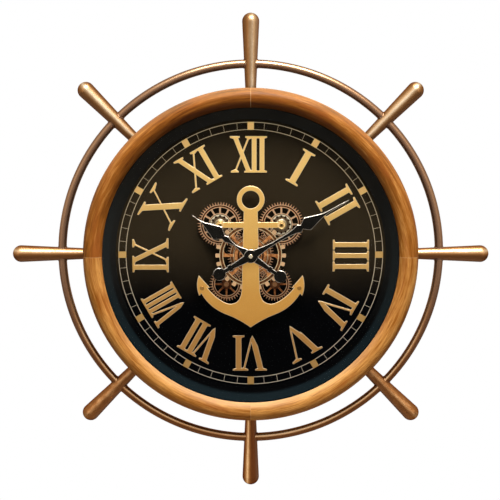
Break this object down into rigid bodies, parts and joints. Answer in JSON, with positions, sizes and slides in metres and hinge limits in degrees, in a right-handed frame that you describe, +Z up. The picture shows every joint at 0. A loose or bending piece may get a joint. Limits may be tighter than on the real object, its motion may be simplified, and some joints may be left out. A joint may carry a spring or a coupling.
{
  "type": "wall clock",
  "caption": "Round wall clock in the form of a ship's wheel: turned handles and rim, wood bezel, glazed black dial with Roman hours, gilt anchor and an open moving gear train.",
  "frame": {"origin": "on the dial axis at the plane of the wall, the rear face of the back board", "axes": "+Z up to twelve o'clock, +X right as seen from the front, +Y into the wall, so the front looks along -Y"},
  "size_m": [0.72, 0.067, 0.72],
  "materials": {
    "bronze": "antique bronze, satin",
    "wood": "oiled, semi-gloss",
    "black_metal": "satin black",
    "black_board": "painted fibreboard",
    "gilt": "satin gilt",
    "copper": "polished copper",
    "black_hand": "gloss black",
    "steel": "zinc plated",
    "black_plastic": "moulded",
    "white_plastic": "moulded",
    "cell_skin": "printed sleeve, plain",
    "glass": "clear float glass"
  },
  "bodies": {
    "case": {"aa_cells": "cell_skin", "anchor": "gilt", "anchor_screws": "gilt", "back_board": "black_board", "band_screws": "steel", "board_screws": "steel", "case_band": "black_metal", "cell_contacts": "steel", "centre_bush": "gilt", "dial": "black_board", "dial_pillars": "black_plastic", "dial_posts": "gilt", "gear_motor": "steel", "gear_washers": "steel", "glass": "glass", "handle_1": "bronze", "handle_2": "bronze", "handle_3": "bronze", "handle_4": "bronze", "handle_5": "bronze", "handle_6": "bronze", "handle_7": "bronze", "handle_8": "bronze", "handle_screws": "steel", "hanger_plate": "steel", "hour_numerals": "gilt", "motor_case": "black_plastic", "motor_cover": "black_plastic", "movement_case": "black_plastic", "movement_cover": "black_plastic", "post_nuts": "steel", "rim_arc_1": "bronze", "rim_arc_2": "bronze", "rim_arc_3": "bronze", "rim_arc_4": "bronze", "rim_arc_5": "bronze", "rim_arc_6": "bronze", "rim_arc_7": "bronze", "rim_arc_8": "bronze", "rim_screws": "steel", "spacer_ring": "black_metal", "stem_nut": "gilt", "wood_rim_1": "wood", "wood_rim_2": "wood", "wood_rim_3": "wood", "wood_rim_4": "wood"},
    "minute": {"minute_arbor": "steel", "minute_hand": "black_hand", "hand_nut": "gilt"},
    "hour": {"hour_tube": "steel", "hour_hand": "black_hand"},
    "setting": {"motion_wheel": "white_plastic", "set_knob": "white_plastic"},
    "centre": {"centre_gear": "copper", "castle_wheel": "copper"},
    "upper_left": {"upper_gear_left": "copper"},
    "upper_right": {"upper_gear_right": "copper"},
    "lower_left": {"lower_gear_left": "copper"},
    "lower_right": {"lower_gear_right": "copper"},
    "drive": {"drive_pinion": "copper"}
  },
  "joints": [
    {"name": "minute_turn", "type": "hinge", "parent": "case", "child": "minute", "pos_m": [0, -0.0491, 0], "axis": [0, 1, 0], "continuous": true},
    {"name": "hour_turn", "type": "hinge", "parent": "case", "child": "hour", "pos_m": [0, -0.0461, 0], "axis": [0, 1, 0], "continuous": true},
    {"name": "setting_turn", "type": "hinge", "parent": "case", "child": "setting", "pos_m": [0, -0.02, 0.012], "axis": [0, 1, 0], "continuous": true},
    {"name": "centre_turn", "type": "hinge", "parent": "case", "child": "centre", "pos_m": [0, -0.0335, 0], "axis": [0, 1, 0], "continuous": true},
    {"name": "upper_left_turn", "type": "hinge", "parent": "case", "child": "upper_left", "pos_m": [-0.04584, -0.0335, 0.04632], "axis": [0, 1, 0], "continuous": true},
    {"name": "upper_right_turn", "type": "hinge", "parent": "case", "child": "upper_right", "pos_m": [0.04584, -0.0335, 0.04632], "axis": [0, 1, 0], "continuous": true},
    {"name": "lower_left_turn", "type": "hinge", "parent": "case", "child": "lower_left", "pos_m": [-0.03638, -0.0335, -0.04413], "axis": [0, 1, 0], "continuous": true},
    {"name": "lower_right_turn", "type": "hinge", "parent": "case", "child": "lower_right", "pos_m": [0.03638, -0.0335, -0.04413], "axis": [0, 1, 0], "continuous": true},
    {"name": "drive_turn", "type": "hinge", "parent": "case", "child": "drive", "pos_m": [0, -0.0335, -0.04123], "axis": [0, 1, 0], "continuous": true}
  ],
  "couplings": [
    {"joint": "hour_turn", "follows": "minute_turn", "ratio": 0.083333},
    {"joint": "setting_turn", "follows": "minute_turn", "ratio": -0.33333},
    {"joint": "upper_left_turn", "follows": "centre_turn", "ratio": -1.0417},
    {"joint": "upper_right_turn", "follows": "centre_turn", "ratio": -1.0417},
    {"joint": "lower_left_turn", "follows": "centre_turn", "ratio": -1.3889},
    {"joint": "lower_right_turn", "follows": "centre_turn", "ratio": -1.3889},
    {"joint": "drive_turn", "follows": "centre_turn", "ratio": -4.1667}
  ]
}
